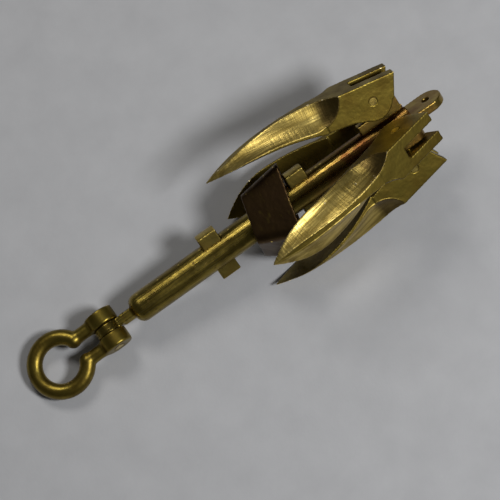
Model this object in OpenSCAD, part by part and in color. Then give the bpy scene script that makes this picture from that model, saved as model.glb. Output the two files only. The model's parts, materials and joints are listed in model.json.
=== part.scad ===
// Folding grapnel anchor in solid brass, lying at rest on a flat surface.
// The anchor is drawn about its own shank and then laid down: +X runs towards the crown,
// +Z is up, and the origin is under the middle of the whole anchor, on the surface.

/* [Shank] */
// Diameter of the round shank
shank_d = 12; // [11.5:0.1:12.4]
// Distance from the fluke pins to the rounded shoulder
shoulder_at = 124; // [118:1:130]
// Distance from the fluke pins to the shackle pin
shackle_pin_at = 136; // [134:1:140]
// Distance from the fluke pins to the lower end of the shank
shank_below = 10.3; // [9.8:0.1:11]
// Diameter of the neck under the shackle tang
neck_d = 5; // [4.5:0.1:6]
// Diameter of the flat tang between the shackle ears
tang_d = 10.4; // [9:0.1:11]
// Thickness of the tang
tang_t = 3.8; // [3:0.1:3.9]

/* [Locking lugs] */
// Distance from the fluke pins to the middle of the upper lug pair
upper_lug_at = 83; // [82:0.5:90]
// Distance from the fluke pins to the middle of the lower lug pair
lower_lug_at = 41; // [38:0.5:42]
// Distance across the tips of a lug pair
lug_span = 21; // [19:0.1:21.6]
// Width of a lug across the shank
lug_w = 5.7; // [5:0.1:6]
// Length of a lug along the shank
lug_len = 8.4; // [7:0.1:9]

/* [Crown] */
// Thickness of the two crossing crown plates
plate_t = 3.4; // [3:0.1:3.5]
// Distance from the shank axis to each fluke pin
pin_radius_at = 17.2; // [17:0.1:18]
// Reach of each plate from the shank axis
plate_reach = 21; // [20.5:0.1:21.2]
// Width of the trip-line eye
eye_w = 13; // [11:0.1:14]
// Bore of the trip-line eye
eye_bore = 3.2; // [3:0.1:5]
// Distance from the fluke pins to the trip-line eye
eye_at = 19; // [18.5:0.5:22]

/* [Flukes] */
// Width of a fluke over its fork
fluke_w = 13.6; // [13.2:0.1:13.8]
// Width of the slot in the fork
fork_slot = 5; // [4.8:0.1:5.2]
// Diameter of a fluke pin
fluke_pin_d = 3.2; // [3:0.1:3.4]
// Half width of a blade where it is widest
leaf_half = 8.5; // [8:0.1:8.8]
// Radius of the hollow ground into each flank
flank_r = 15; // [14.9:0.05:15.1]
// Angle of each fluke away from the shank as the anchor lies
fluke_rest = [10.4, 19, 10.4, 5]; // [5:0.1:19]

/* [Collar] */
// Half width of the collar's square base
collar_base_half = 10.8; // [10.6:0.1:11.2]
// Half width of the collar's square mouth
collar_mouth_half = 16.4; // [15.5:0.1:16.6]
// Length of the collar
collar_len = 18; // [16:0.5:18.5]
// Wall thickness of the flared skirt
collar_wall = 1.9; // [1.6:0.1:2.2]
// Thickness of the collar's base
collar_base_t = 2.6; // [2.2:0.1:2.8]
// Bore of the collar round the shank
collar_bore = 14; // [13.8:0.1:14.2]
// Lean of the loose collar on the shank
collar_lean = 15; // [0:1:15]
// Distance from the fluke pins to the middle of the collar's base
collar_at = 64.4; // [64:0.2:66]

/* [Shackle] */
// Diameter of the shackle's stock
bow_stock = 6.5; // [6:0.1:7]
// Diameter of the bow at the middle of its stock
bow_d = 21.5; // [20:0.1:23]
// Distance from the shackle pin to the middle of the bow
bow_reach = 23; // [22:0.5:25]
// Diameter of the two shackle ears
ear_d = 12.5; // [12:0.1:13]
// Thickness of each ear
ear_t = 6; // [5.5:0.1:6.5]
// Gap between the ears
ear_gap = 4.2; // [4.1:0.1:4.6]
// Diameter of the shackle pin
shackle_pin_d = 4; // [3.8:0.1:4.4]
// Swing of the shackle down from the line of the shank
shackle_drop = 3; // [0:1:8]

/* [Lie] */
// Slope of the shank, crown end up
lie_tilt = 8.63; // [6:0.01:12]
// Turn of the anchor about its own shank
lie_roll = 8.425; // [0:0.005:10]

/* [Hidden] */
$fn = 96;

brass = "#b08d2f";
dark_brass = "#7d6524";
pale_brass = "#c8a849";

// Azimuths about the shank, from straight up towards +Y
fluke_azimuth = [45, -45, -135, 135];
cross_azimuth = 45;
eye_azimuth = 135;

// Clearances on the radius of a running bore
pin_clearance = 0.08;
past = 1;

// Shank
shoulder_r = 4;
neck_len = 5;
shank_r = shank_d / 2;

// Crown plates
plate_above = 10;
plate_below = 9.3;
plate_root = 9.4;
plate_corner_r = 4.2;
lap_at = 0.5;

// Fluke outline, along the blade from its pin and outwards from the shank
heel_outer = [-12, 7.6];
heel_inner = [-8.5, -2.7];
lobe_r = 8.3;
slot_end = 5;
back_r = 112;
back_top = [22, 8.6];
palm_r = 85;
palm_top = [48, -0.2];
blade_len = 76;
root_at = 20;

// Plan of the leaf: it widens slowly from the fork, then draws in to the tip
leaf_widest_at = 48;
leaf_root_r = 199;
leaf_tip_r = 38;
leaf_tip_at = 71.9;

// The hollow starts as a ball and follows an arc that rises, leans in and falls towards the tip
flank_from = [23, 9.34, 17.27];
flank_rise = 24.5;
flank_lean = 9.7;
flank_arc_r = 64.2;
flank_arc = 52;

// Collar
collar_corner = 3;
mouth_corner = 4;
slot_play = 0.3;

// Where the anchor lies, with its shackle pin level
lie_centre = [72.68, 0.32, 30.465];
tang_turn = -lie_roll;

// Places a child drawn about the shank, with z along the shank towards the shackle
module laid() {
    translate(lie_centre)
        rotate([0, -90 - lie_tilt, 0])
        rotate([0, 0, lie_roll])
        children();
}

// Places a child drawn in the plane of one plate: x out from the shank, y along it
module in_plane(azimuth) {
    rotate([0, 0, azimuth]) rotate([90, 0, 0]) children();
}

// Places a child drawn about a fluke's pin: x along the blade, y out from the shank
module at_fluke(i) {
    rotate([0, 0, fluke_azimuth[i]])
        translate([pin_radius_at, 0, 0])
        rotate([-90, -90, 0])
        rotate([0, 0, fluke_rest[i]])
        children();
}

module rod_outline() {
    hull_top = shoulder_at - shoulder_r;
    intersection() {
        union() {
            square([shank_r, hull_top]);
            translate([0, hull_top]) square([shank_r - shoulder_r, shoulder_r]);
            translate([shank_r - shoulder_r, hull_top]) circle(r = shoulder_r);
        }
        square([shank_r, shoulder_at]);
    }
}

module shank_rod() {
    color(brass) laid() difference() {
        union() {
            translate([0, 0, -shank_below]) cylinder(d = shank_d, h = shank_below + past);
            rotate_extrude() rod_outline();
            translate([0, 0, shoulder_at - past]) cylinder(d = neck_d, h = neck_len + past);
            rotate([0, 0, tang_turn]) {
                translate([-neck_d / 2, -tang_t / 2, shoulder_at])
                    cube([neck_d, tang_t, shackle_pin_at - shoulder_at]);
                translate([0, tang_t / 2, shackle_pin_at])
                    rotate([90, 0, 0])
                    cylinder(d = tang_d, h = tang_t);
            }
        }
        rotate([0, 0, tang_turn]) translate([0, tang_d, shackle_pin_at])
            rotate([90, 0, 0])
            cylinder(r = shackle_pin_d / 2 + pin_clearance, h = 2 * tang_d);
        for (azimuth = [cross_azimuth, eye_azimuth])
            rotate([0, 0, azimuth])
                translate([-shank_d, -plate_t / 2, -shank_below - past])
                cube([2 * shank_d, plate_t, shank_below + past + plate_above]);
        for (at = [upper_lug_at, lower_lug_at])
            lug_block(at, 2 * shank_d);
    }
}

module lug_block(at, span) {
    translate([0, 0, at])
        rotate([0, 0, cross_azimuth])
        cube([span, lug_w, lug_len], center = true);
}

module lock_lugs(at) {
    color(pale_brass) laid() intersection() {
        lug_block(at, lug_span);
        translate([0, 0, at - lug_len]) cylinder(d = lug_span, h = 2 * lug_len);
    }
}

module upper_lock_lugs() {
    lock_lugs(upper_lug_at);
}

module lower_lock_lugs() {
    lock_lugs(lower_lug_at);
}

// One arm of a crown plate, from the shank axis out past a fluke pin
module plate_arm() {
    difference() {
        union() {
            linear_extrude(plate_t, center = true) polygon([
                [0, -plate_below], [plate_reach - plate_corner_r, -plate_below],
                [plate_reach, plate_corner_r - plate_below], [plate_reach, 0],
                [pin_radius_at - plate_corner_r, 0], [pin_radius_at - plate_corner_r, plate_corner_r],
                [plate_root, plate_corner_r], [plate_root, plate_above], [0, plate_above]
            ]);
            translate([plate_reach - plate_corner_r, 0, 0])
                cylinder(r = plate_corner_r, h = plate_t, center = true);
            translate([pin_radius_at - plate_corner_r, 0, -plate_t / 2])
                cube([plate_reach - pin_radius_at, plate_corner_r, plate_t]);
            translate([plate_reach - plate_corner_r, plate_corner_r - plate_below, 0])
                cylinder(r = plate_corner_r, h = plate_t, center = true);
        }
        translate([pin_radius_at, 0, 0])
            cylinder(r = fluke_pin_d / 2 + pin_clearance, h = 2 * plate_t, center = true);
    }
}

module crown_plate(azimuth) {
    rotate([0, 0, azimuth]) rotate([90, 0, 0]) plate_arm();
    rotate([0, 0, azimuth + 180]) rotate([90, 0, 0]) plate_arm();
}

module crown_cross_plate() {
    color(pale_brass) laid() difference() {
        crown_plate(cross_azimuth);
        rotate([0, 0, cross_azimuth])
            translate([-plate_t / 2, -plate_t, -plate_below - past])
            cube([plate_t, 2 * plate_t, plate_below + past + lap_at]);
    }
}

module crown_eye_plate() {
    color(pale_brass) laid() difference() {
        union() {
            crown_plate(eye_azimuth);
            in_plane(eye_azimuth) {
                translate([0, -eye_at, 0]) cylinder(d = eye_w, h = plate_t, center = true);
                translate([-eye_w / 2, -eye_at, -plate_t / 2]) cube([eye_w, eye_at, plate_t]);
            }
        }
        in_plane(eye_azimuth) translate([0, -eye_at, 0])
            cylinder(d = eye_bore, h = 2 * plate_t, center = true);
        rotate([0, 0, eye_azimuth])
            translate([-plate_t / 2, -plate_t, lap_at])
            cube([plate_t, 2 * plate_t, plate_above]);
    }
}

// The forked root of a fluke, before its slot is cut
module fluke_root() {
    linear_extrude(fluke_w, center = true) polygon([
        heel_outer, [back_top[0] - 8, heel_outer[1] + 0.7], back_top,
        [root_at, -4.2], [9.2, -5.4], [4.4, -lobe_r * 0.85], [0, 0], heel_inner
    ]);
    intersection() {
        cylinder(r = lobe_r, h = fluke_w, center = true);
        translate([-lobe_r, -lobe_r, -fluke_w / 2]) cube([lobe_r * 1.55, lobe_r, fluke_w]);
    }
}

// Half width of the leaf at one place along the blade
function leaf_edge(x, r) = leaf_half - r + sqrt(pow(r, 2) - pow(x - leaf_widest_at, 2));

// The long curved blade, under the arc of its back and between the edges of the leaf
module fluke_blade() {
    edge = concat(
        [for (x = [root_at : 4 : leaf_widest_at - 4]) [x, leaf_edge(x, leaf_root_r)]],
        [for (x = [leaf_widest_at : 2 : 70]) [x, leaf_edge(x, leaf_tip_r)]],
        [[leaf_tip_at, leaf_edge(leaf_tip_at, leaf_tip_r)]]
    );
    last = len(edge) - 1;
    intersection() {
        rotate([90, 0, 0]) linear_extrude(2 * blade_len, center = true)
            polygon(concat(edge, [for (i = [last : -1 : 0]) [edge[i][0], -edge[i][1]]]));
        translate([back_top[0], back_top[1] - back_r, -fluke_w])
            cylinder(r = back_r, h = 2 * fluke_w, $fn = 360);
    }
}

// Everything that is ground away from one flank
module flank_hollow() {
    translate(flank_from) rotate([0, flank_lean, 0]) {
        rotate([90, 0, 0]) sphere(r = flank_r);
        rotate([0, 0, flank_rise]) translate([0, -flank_arc_r, 0])
            rotate([0, 0, 90 - flank_arc]) rotate_extrude(angle = flank_arc, $fn = 360)
            translate([flank_arc_r, 0]) circle(r = flank_r);
    }
}

module fluke(i) {
    color(i == 1 ? pale_brass : brass) laid() at_fluke(i) difference() {
        union() {
            fluke_root();
            fluke_blade();
        }
        translate([palm_top[0], palm_top[1] - palm_r, -fluke_w]) difference() {
            cylinder(r = palm_r, h = 2 * fluke_w, $fn = 360);
            translate([-palm_r - palm_top[0] + root_at, -palm_r, -past])
                cube([palm_r, 3 * palm_r, 2 * fluke_w + 2 * past]);
        }
        flank_hollow();
        mirror([0, 0, 1]) flank_hollow();
        translate([heel_outer[0] - past, -blade_len / 2, -fork_slot / 2])
            cube([slot_end - heel_outer[0] + past, blade_len, fork_slot]);
        cylinder(d = fluke_pin_d, h = 2 * fluke_w, center = true);
    }
}

module fluke_pin(i) {
    color(pale_brass) laid() at_fluke(i) cylinder(d = fluke_pin_d, h = fluke_w, center = true);
}

// A square with round corners, drawn from a square's half width
module round_square(half, corner) {
    offset(r = corner) square(2 * (half - corner), center = true);
}

// The flared square skirt, from the base at z = 0 down to the mouth
module collar_skirt(inset) {
    hull() {
        translate([0, 0, -0.1]) linear_extrude(0.1)
            round_square(collar_base_half - inset, collar_corner, $fn = 32);
        translate([0, 0, -collar_len]) linear_extrude(0.1)
            round_square(collar_mouth_half - inset, mouth_corner, $fn = 32);
    }
}

module locking_collar() {
    color(dark_brass) laid() translate([0, 0, collar_at]) rotate([-collar_lean, 0, 0])
        translate([0, 0, collar_base_t / 2]) difference() {
        collar_skirt(0);
        difference() {
            translate([0, 0, -0.1]) collar_skirt(collar_wall);
            translate([0, 0, -collar_base_t]) cylinder(d = 4 * collar_mouth_half, h = collar_len);
        }
        cylinder(d = collar_bore, h = 4 * collar_base_t, center = true);
        translate([0, 0, -collar_base_t / 2]) rotate([collar_lean, 0, 0]) rotate([0, 0, cross_azimuth])
            cube([lug_span + 2 * slot_play, lug_w + 2 * slot_play, 2 * collar_len], center = true);
    }
}

// Places a child drawn about the shackle pin: x from the pin towards the bow, z along the pin
module at_shackle() {
    rotate([0, 0, tang_turn])
        translate([0, 0, shackle_pin_at])
        rotate([0, -90 - shackle_drop, 0])
        rotate([-90, 0, 0])
        children();
}

module shackle_bow() {
    mouth_half = (ear_gap + ear_t) / 2;
    mouth_angle = asin(mouth_half / (bow_d / 2));
    leg_len = bow_reach - bow_d / 2 * cos(mouth_angle);
    leg_d = ear_t - 0.3;
    color(brass) laid() at_shackle() difference() {
        union() {
            translate([bow_reach, 0, 0]) rotate([90, 0, 0]) difference() {
                rotate_extrude() translate([bow_d / 2, 0]) circle(d = bow_stock);
                linear_extrude(2 * bow_stock, center = true) polygon([
                    [0, 0], [-bow_d, -bow_d * tan(mouth_angle)], [-bow_d, bow_d * tan(mouth_angle)]
                ]);
            }
            for (side = [-1, 1]) translate([0, 0, side * mouth_half]) {
                rotate([0, 90, 0]) cylinder(d = leg_d, h = leg_len + leg_d / 4);
                translate([leg_len, 0, 0]) sphere(d = bow_stock + 0.4);
                cylinder(d = ear_d, h = ear_t, center = true);
            }
        }
        cube([ear_d + 1, ear_d + 1, ear_gap], center = true);
        cylinder(d = shackle_pin_d, h = 4 * ear_t, center = true);
    }
}

module shackle_pin() {
    color(pale_brass) laid() at_shackle()
        cylinder(d = shackle_pin_d, h = ear_gap + 2 * ear_t, center = true);
}

shank_rod();
upper_lock_lugs();
lower_lock_lugs();
crown_cross_plate();
crown_eye_plate();
fluke(0);  // fluke_1
fluke(1);  // fluke_2
fluke(2);  // fluke_3
fluke(3);  // fluke_4
fluke_pin(0);  // fluke_pin_1
fluke_pin(1);  // fluke_pin_2
fluke_pin(2);  // fluke_pin_3
fluke_pin(3);  // fluke_pin_4
locking_collar();
shackle_bow();
shackle_pin();
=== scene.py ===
"""Folding brass grapnel anchor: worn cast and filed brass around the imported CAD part."""

import json
import math

import bmesh
import bpy
from mathutils import Matrix, Vector


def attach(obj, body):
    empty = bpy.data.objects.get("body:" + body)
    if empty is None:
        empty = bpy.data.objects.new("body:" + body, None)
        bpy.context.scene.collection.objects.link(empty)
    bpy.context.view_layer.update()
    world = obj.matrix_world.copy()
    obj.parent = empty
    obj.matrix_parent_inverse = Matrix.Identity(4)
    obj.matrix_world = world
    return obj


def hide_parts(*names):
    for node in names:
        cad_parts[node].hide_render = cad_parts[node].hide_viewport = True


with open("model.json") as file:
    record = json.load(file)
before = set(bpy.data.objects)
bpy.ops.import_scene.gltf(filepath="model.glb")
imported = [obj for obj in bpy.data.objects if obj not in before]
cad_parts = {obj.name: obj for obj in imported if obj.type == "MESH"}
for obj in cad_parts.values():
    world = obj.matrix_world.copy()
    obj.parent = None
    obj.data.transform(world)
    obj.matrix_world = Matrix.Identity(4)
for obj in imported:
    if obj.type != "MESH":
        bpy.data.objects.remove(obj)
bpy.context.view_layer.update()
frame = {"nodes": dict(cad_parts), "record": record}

MM = 0.001

# The anchor's lie and its flukes, as in the CAD, in millimetres and degrees
LIE_TILT = 8.63
LIE_ROLL = 8.425
LIE_CENTRE = Vector((72.68, 0.32, 30.465))
PIN_RADIUS_AT = 17.2
FLUKE_AZIMUTH = {"fluke_1": 45, "fluke_2": -45, "fluke_3": -135, "fluke_4": 135}
FLUKE_REST = {"fluke_1": 10.4, "fluke_2": 19, "fluke_3": 10.4, "fluke_4": 5}
FLANK_R = 15
FLANK_FROM = (23, 9.34, 17.27)
FLANK_RISE = 24.5
FLANK_LEAN = 9.7
FLANK_ARC_R = 64.2

# How far, in millimetres, the ground skin fades into the cast skin
SKIN_FADE = 0.25


def turn(axis, degrees):
    return Matrix.Rotation(math.radians(degrees), 4, axis)


LAID = Matrix.Translation(LIE_CENTRE) @ turn("Y", -90 - LIE_TILT) @ turn("Z", LIE_ROLL)


def fluke_frame(name):
    """The fluke's own frame: x along the blade, y outwards from the shank, z across."""
    return (
        LAID
        @ turn("Z", FLUKE_AZIMUTH[name])
        @ Matrix.Translation((PIN_RADIUS_AT, 0, 0))
        @ turn("Y", -90) @ turn("X", -90)
        @ turn("Z", FLUKE_REST[name])
    )


# ---------------------------------------------------------------- meshes

def softened(node, voxel=0.3, passes=3):
    """A copy of a CAD node whose sharp edges are worn round, riding where the node rides."""
    mesh = frame["nodes"][node].data.copy()
    mesh.materials.clear()
    mesh.transform(Matrix.Scale(1 / MM, 4))
    obj = bpy.data.objects.new(node + "_worn", mesh)
    bpy.context.scene.collection.objects.link(obj)
    remesh = obj.modifiers.new("remesh", "REMESH")
    remesh.mode = "VOXEL"
    remesh.voxel_size = voxel
    smooth = obj.modifiers.new("smooth", "SMOOTH")
    smooth.factor = 0.5
    smooth.iterations = passes
    depsgraph = bpy.context.evaluated_depsgraph_get()
    done = bpy.data.meshes.new_from_object(obj.evaluated_get(depsgraph))
    obj.modifiers.clear()
    obj.data = done
    done.polygons.foreach_set("use_smooth", [True] * len(done.polygons))
    done.transform(Matrix.Scale(MM, 4))
    bodies = frame["record"]["behaviour"]["bodies"]
    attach(obj, next(body for body, names in bodies.items() if node in names))
    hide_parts(node)
    return obj


def mark_local(obj, to_local):
    """Stores each point's place in the piece's own frame, in millimetres, for its material."""
    attribute = obj.data.attributes.new("place", "FLOAT_VECTOR", "POINT")
    places = []
    for vertex in obj.data.vertices:
        places.extend(to_local @ (vertex.co / MM))
    attribute.data.foreach_set("vector", places)
    return places


def mark_hollow(obj, places):
    """Stores 1 where a fluke's surface is the ground hollow, and 0 on its cast skin."""
    lean, rise = turn("Y", FLANK_LEAN), turn("Z", FLANK_RISE)
    to_arc = (Matrix.Translation(FLANK_FROM) @ lean @ rise).inverted()
    attribute = obj.data.attributes.new("hollow", "FLOAT", "POINT")
    values = []
    for i in range(0, len(places), 3):
        p = to_arc @ Vector((places[i], places[i + 1], abs(places[i + 2])))
        if p.x < 0:
            off = p.length - FLANK_R
        else:
            off = math.hypot(math.hypot(p.x, p.y + FLANK_ARC_R) - FLANK_ARC_R, p.z) - FLANK_R
        values.append(max(0.0, min(1.0, 1.5 - abs(off) / SKIN_FADE)))
    attribute.data.foreach_set("value", values)


# ---------------------------------------------------------------- materials

class Nodes:
    """Short calls for building one material's nodes."""

    def __init__(self, name):
        self.material = bpy.data.materials.new(name)
        self.material.use_nodes = True
        self.tree = self.material.node_tree
        self.shader = self.tree.nodes["Principled BSDF"]
        self.shader.inputs["Metallic"].default_value = 1.0

    def add(self, kind, values=None, **settings):
        node = self.tree.nodes.new("ShaderNode" + kind)
        for key, value in settings.items():
            setattr(node, key, value)
        for key, value in (values or {}).items():
            self.put(node.inputs[key], value)
        return node

    def put(self, socket, value):
        if isinstance(value, bpy.types.NodeSocket):
            self.tree.links.new(value, socket)
        else:
            socket.default_value = value

    def math(self, operation, a, b):
        node = self.add("Math", operation=operation)
        self.put(node.inputs[0], a)
        self.put(node.inputs[1], b)
        return node.outputs[0]

    def times(self, a, b):
        return self.math("MULTIPLY", a, b)

    def noise(self, vector, scale, detail=3.0, rough=0.55, distortion=0.0):
        node = self.add("TexNoise", {"Vector": vector, "Scale": scale, "Detail": detail,
                                     "Roughness": rough, "Distortion": distortion})
        return node.outputs["Fac"]

    def stretched(self, vector, factors):
        return self.add("Mapping", {"Vector": vector, "Scale": factors}).outputs[0]

    def ramp(self, value, low, high, to_low=0.0, to_high=1.0):
        node = self.add("MapRange", {"Value": value, "From Min": low, "From Max": high,
                                     "To Min": to_low, "To Max": to_high})
        return node.outputs[0]

    def mix(self, factor, a, b):
        node = self.add("Mix", data_type="RGBA")
        for socket, value in ((node.inputs[0], factor), (node.inputs[6], a), (node.inputs[7], b)):
            if isinstance(value, tuple) and len(value) == 3:
                value = (*value, 1)
            self.put(socket, value)
        return node.outputs[2]

    def bump(self, height, distance, normal=None):
        node = self.add("Bump", {"Height": height, "Strength": 1.0, "Distance": distance})
        if normal is not None:
            self.put(node.inputs["Normal"], normal)
        return node.outputs[0]

    def attribute(self, name, output):
        return self.add("Attribute", attribute_name=name).outputs[output]

    def finish(self, color, rough, normal):
        self.put(self.shader.inputs["Base Color"], color)
        self.put(self.shader.inputs["Roughness"], rough)
        self.put(self.shader.inputs["Normal"], normal)
        return self.material


OLIVE = (0.27, 0.2, 0.036)
DEEP = (0.14, 0.096, 0.017)
GOLD = (0.80, 0.60, 0.16)
BROWN = (0.075, 0.042, 0.014)
RED = (0.15, 0.062, 0.018)
WORN_EDGE_AND_HIGHLIGHT = (0.86, 0.72, 0.42)
GROUND_DULL = (0.26, 0.185, 0.045)
GROUND_BRIGHT = (0.56, 0.42, 0.12)
END_WALL_PAINTED_SHADE = (0.075, 0.048, 0.016)
ROD_DULL = (0.13, 0.092, 0.018)
ROD_BRIGHT = (0.27, 0.2, 0.04)
FLOOR_SHADES = ((0.40, 0.40, 0.405), (0.435, 0.435, 0.44))

# Pointiness at which an edge begins to shine and is fully bright, and a corner begins
# to hold grime and is full of it. A flat face has 0.5.
EDGE_FROM, EDGE_FULL = 0.535, 0.60
CORNER_FROM, CORNER_FULL = 0.485, 0.43

# Millimetres along the blade where the painted shade on the hollow's end wall gives way to its
# floor, and along the shank where the crown's red stain fades out
END_WALL_FROM, END_WALL_FULL = 22.5, 20.0
STAIN_FROM, STAIN_FULL = 50, 20


def worn_edges(n):
    """1 on outer edges, where handling keeps the metal bright; on the flukes it also carries a
    painted highlight.
    """
    point = n.add("NewGeometry").outputs["Pointiness"]
    return n.ramp(point, EDGE_FROM, EDGE_FULL)


def hollow_corners(n):
    """1 in inner corners, where grime and tarnish stay."""
    point = n.add("NewGeometry").outputs["Pointiness"]
    return n.ramp(point, CORNER_FROM, CORNER_FULL)


def cast_brass(name, tint, shade, rough):
    """Sand-cast brass: cloudy tint, dark specks, grimy corners and bright edges."""
    n = Nodes(name)
    at = n.add("TexCoord").outputs["Object"]
    patches = n.ramp(n.noise(at, 130, 4), 0.36, 0.66)
    specks = n.ramp(n.noise(at, 900, 2), 0.55, 0.75)
    color = n.mix(patches, shade, tint)
    color = n.mix(n.times(specks, 0.35), color, shade)
    color = n.mix(n.times(hollow_corners(n), 0.75), color, BROWN)
    edges = n.times(worn_edges(n), n.ramp(n.noise(at, 400, 2), 0.3, 0.6))
    color = n.mix(edges, color, GOLD)
    roughness = n.math("SUBTRACT", n.ramp(patches, 0, 1, rough + 0.08, rough - 0.05),
                       n.times(edges, 0.12))
    normal = n.bump(n.noise(at, 1100, 3, 0.65), 0.035 * MM)
    normal = n.bump(n.noise(at, 170, 2), 0.22 * MM, normal)
    return n.finish(color, roughness, normal)


def fluke_brass(name):
    """Cast skin on the cheeks and back, and bright tool marks across the ground hollows."""
    n = Nodes(name)
    at = n.add("TexCoord").outputs["Object"]
    place = n.attribute("place", "Vector")
    hollow = n.attribute("hollow", "Fac")

    patches = n.ramp(n.noise(at, 120, 4), 0.36, 0.66)
    specks = n.ramp(n.noise(at, 950, 2), 0.55, 0.75)
    cast = n.mix(patches, DEEP, OLIVE)
    cast = n.mix(n.times(specks, 0.3), cast, DEEP)

    streaks = n.noise(n.stretched(place, (0.025, 0.42, 0.42)), 1.0, 3, 0.6)
    blotches = n.noise(n.stretched(place, (0.16, 0.3, 0.3)), 1.0, 4, 0.6)
    ground = n.mix(n.ramp(streaks, 0.36, 0.6), GROUND_DULL, GROUND_BRIGHT)
    ground = n.mix(n.times(n.ramp(blotches, 0.5, 0.72), 0.55), ground, DEEP)
    along = n.add("SeparateXYZ", {"Vector": place}).outputs[0]
    # Painted shade: the hollow's end wall is darkened to stand for the dark surroundings it
    # reflects
    end_wall_shade = n.ramp(along, END_WALL_FROM, END_WALL_FULL)
    ground = n.mix(n.times(end_wall_shade, 0.85), ground, END_WALL_PAINTED_SHADE)

    color = n.mix(hollow, cast, ground)
    color = n.mix(n.times(hollow_corners(n), 0.6), color, BROWN)
    edges = n.times(worn_edges(n), n.ramp(n.noise(at, 380, 2), 0.25, 0.55))
    # Pale edges: brass rubbed bright by handling, and a painted highlight along the blades' edges
    color = n.mix(edges, color, WORN_EDGE_AND_HIGHLIGHT)

    skin_rough = n.ramp(patches, 0, 1, 0.47, 0.36)
    cut_rough = n.ramp(streaks, 0.3, 0.65, 0.48, 0.33)
    roughness = n.mix(hollow, skin_rough, cut_rough)
    roughness = n.math("SUBTRACT", roughness, n.times(edges, 0.1))

    lines = n.noise(n.stretched(place, (2.4, 0.10, 0.10)), 1.0, 3, 0.6, 0.3)
    ripples = n.noise(n.stretched(place, (0.55, 0.05, 0.05)), 1.0, 1, 0.5, 0.2)
    cuts = n.math("ADD", n.times(lines, 0.075), n.times(ripples, 0.12))
    grain = n.times(n.noise(at, 1100, 3, 0.65), 0.04)
    lumps = n.times(n.noise(at, 180, 2), 0.2)
    height = n.add("Mix", {0: hollow}, data_type="FLOAT")
    n.put(height.inputs[2], n.math("ADD", grain, lumps))
    n.put(height.inputs[3], n.math("ADD", cuts, n.times(streaks, 0.25)))
    normal = n.bump(height.outputs[0], MM)
    return n.finish(color, roughness, normal)


def turned_brass(name):
    """A rod with filing scratches along it, dark pits and soft stains."""
    n = Nodes(name)
    at = n.add("TexCoord").outputs["Object"]
    place = n.attribute("place", "Vector")
    patches = n.ramp(n.noise(at, 110, 4), 0.35, 0.65)
    color = n.mix(patches, ROD_DULL, ROD_BRIGHT)
    drag = n.noise(n.stretched(place, (1.3, 1.3, 0.05)), 1.0, 3, 0.6)
    color = n.mix(n.times(n.ramp(drag, 0.55, 0.7), 0.35), color, GOLD)
    pits = n.ramp(n.noise(at, 700, 2), 0.64, 0.72)
    color = n.mix(n.times(pits, 0.8), color, BROWN)
    crown = n.ramp(n.add("SeparateXYZ", {"Vector": place}).outputs[2], STAIN_FROM, STAIN_FULL)
    color = n.mix(n.times(crown, n.ramp(n.noise(at, 160, 3), 0.25, 0.6)), color, RED)
    color = n.mix(n.times(hollow_corners(n), 0.7), color, BROWN)
    edges = worn_edges(n)
    color = n.mix(n.times(edges, 0.8), color, GOLD)
    roughness = n.ramp(drag, 0.35, 0.65, 0.34, 0.22)
    roughness = n.math("ADD", roughness, n.times(pits, 0.2))
    normal = n.bump(drag, 0.10 * MM)
    normal = n.bump(n.noise(at, 200, 2), 0.15 * MM, normal)
    return n.finish(color, roughness, normal)


def tarnished_brass(name, tint, shade, rough):
    """Dark tarnish in clouds, rubbed back to brass in streaks and along the edges."""
    n = Nodes(name)
    at = n.add("TexCoord").outputs["Object"]
    clouds = n.ramp(n.noise(at, 90, 5, 0.6), 0.35, 0.68)
    color = n.mix(clouds, shade, tint)
    rubs = n.ramp(n.noise(n.stretched(at, (1, 0.35, 1)), 420, 3), 0.6, 0.74)
    color = n.mix(n.times(rubs, 0.3), color, OLIVE)
    edges = n.times(worn_edges(n), n.ramp(n.noise(at, 300, 2), 0.3, 0.6))
    color = n.mix(edges, color, GOLD)
    roughness = n.math("SUBTRACT", n.ramp(clouds, 0, 1, rough + 0.08, rough - 0.06),
                       n.times(edges, 0.15))
    normal = n.bump(n.noise(at, 1000, 3, 0.6), 0.03 * MM)
    normal = n.bump(n.noise(at, 150, 2), 0.25 * MM, normal)
    return n.finish(color, roughness, normal)


FLUKE = fluke_brass("fluke_brass")
ROD = turned_brass("rod_brass")
CAST = cast_brass("cast_brass", OLIVE, DEEP, 0.36)
PLATE = cast_brass("plate_brass", (0.36, 0.26, 0.06), (0.2, 0.11, 0.025), 0.32)
FILED = cast_brass("filed_brass", (0.45, 0.34, 0.08), (0.26, 0.18, 0.04), 0.32)
COLLAR = tarnished_brass("collar_brass", (0.105, 0.062, 0.024), (0.05, 0.029, 0.014), 0.36)

# ---------------------------------------------------------------- pieces

for name in FLUKE_AZIMUTH:
    piece = softened(name)
    mark_hollow(piece, mark_local(piece, fluke_frame(name).inverted()))
    piece.data.materials.append(FLUKE)

# Node, material, slot, voxel in millimetres and smoothing passes
for name, material, slot, voxel, passes in (
    ("shank_rod", ROD, "cast_brass", 0.3, 3),
    ("upper_lock_lugs", FILED, "bright_brass", 0.25, 12),
    ("lower_lock_lugs", FILED, "bright_brass", 0.25, 12),
    ("crown_cross_plate", PLATE, "dark_brass", 0.25, 3),
    ("crown_eye_plate", PLATE, "dark_brass", 0.25, 8),
    ("locking_collar", COLLAR, "dark_brass", 0.3, 20),
    ("shackle_bow", CAST, "cast_brass", 0.3, 30),
):
    piece = softened(name, voxel, passes)
    mark_local(piece, LAID.inverted())
    piece.data.materials.append(material)

# The pins stay the CAD's own meshes
for name in ("fluke_pin_1", "fluke_pin_2", "fluke_pin_3", "fluke_pin_4", "shackle_pin"):
    node = frame["nodes"][name]
    node.data.materials.clear()
    node.data.materials.append(CAST)

# ---------------------------------------------------------------- stage

# Metres, watts for the lamps, and linear colours
FLOOR_REACH = 2
FLOOR_ROUGH = 0.75
SKY_COLOR = (0.93, 0.96, 1, 1)
SKY_STRENGTH = 0.07
LAMPS_AIM = Vector((0, 0, 0.02))

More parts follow.
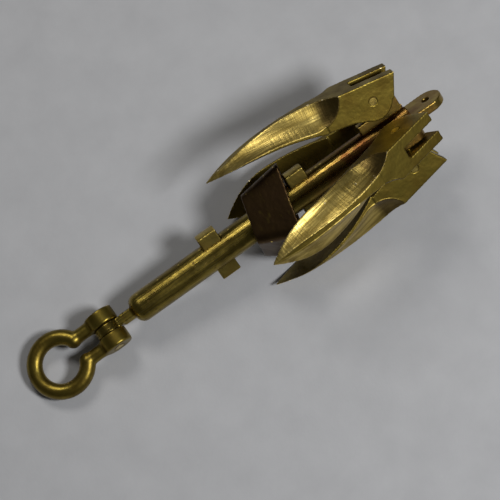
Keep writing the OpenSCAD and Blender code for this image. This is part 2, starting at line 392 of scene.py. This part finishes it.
floor_mesh = bpy.data.meshes.new("floor")
floor = bpy.data.objects.new("floor", floor_mesh)
bpy.context.scene.collection.objects.link(floor)
shape = bmesh.new()
bmesh.ops.create_grid(shape, x_segments=2, y_segments=2, size=FLOOR_REACH)
shape.to_mesh(floor_mesh)
shape.free()
surface = Nodes("surface")
surface.shader.inputs["Metallic"].default_value = 0.0
surface_at = surface.add("TexCoord").outputs["Object"]
clouds = surface.ramp(surface.noise(surface_at, 60, 3), 0.3, 0.7)
grain = surface.bump(surface.noise(surface_at, 700, 3), 0.05 * MM)
floor_mesh.materials.append(
    surface.finish(surface.mix(clouds, *FLOOR_SHADES), FLOOR_ROUGH, grain))

world = bpy.data.worlds.new("world")
bpy.context.scene.world = world
world.use_nodes = True
sky = world.node_tree.nodes["Background"].inputs
sky["Color"].default_value = SKY_COLOR
sky["Strength"].default_value = SKY_STRENGTH


def lamp(name, place, size, power, color):
    """A soft round lamp that faces the anchor."""
    light = bpy.data.lights.new(name, "AREA")
    light.shape = "DISK"
    light.size = size
    light.energy = power
    light.color = color
    obj = bpy.data.objects.new(name, light)
    obj.location = place
    obj.rotation_euler = (LAMPS_AIM - Vector(place)).to_track_quat("-Z", "Y").to_euler()
    bpy.context.scene.collection.objects.link(obj)


# The first throws the long shadow, and the second the fainter one on the other side
lamp("window", (0.27, -0.36, 0.70), 0.22, 4.6, (0.97, 0.98, 1))
lamp("ceiling", (0.02, 0.50, 0.70), 0.30, 1.9, (1, 0.98, 0.95))

# ---------------------------------------------------------------- camera

# Degrees, metres from the aim, and millimetres of lens
CAMERA_ELEVATION = 75.44
CAMERA_AZIMUTH = -132.99
CAMERA_ROLL = 8.18
CAMERA_DISTANCE = 0.6642
CAMERA_AIM = Vector((0.0003, -0.0077, 0.026))
CAMERA_LENS = 122.4
NEAREST_SEEN = 0.01

elevation, azimuth = math.radians(CAMERA_ELEVATION), math.radians(CAMERA_AZIMUTH)
towards = Vector((math.cos(elevation) * math.cos(azimuth),
                  math.cos(elevation) * math.sin(azimuth), math.sin(elevation)))
camera = bpy.data.objects.new("camera", bpy.data.cameras.new("camera"))
camera.data.lens = CAMERA_LENS
camera.data.clip_start = NEAREST_SEEN
camera.location = CAMERA_AIM + CAMERA_DISTANCE * towards
camera.rotation_mode = "QUATERNION"
level = (-towards).to_track_quat("-Z", "Y").to_matrix().to_4x4()
camera.rotation_quaternion = (level @ turn("Z", CAMERA_ROLL)).to_quaternion()
bpy.context.scene.collection.objects.link(camera)
bpy.context.scene.camera = camera
bpy.context.scene.view_settings.view_transform = "Standard"
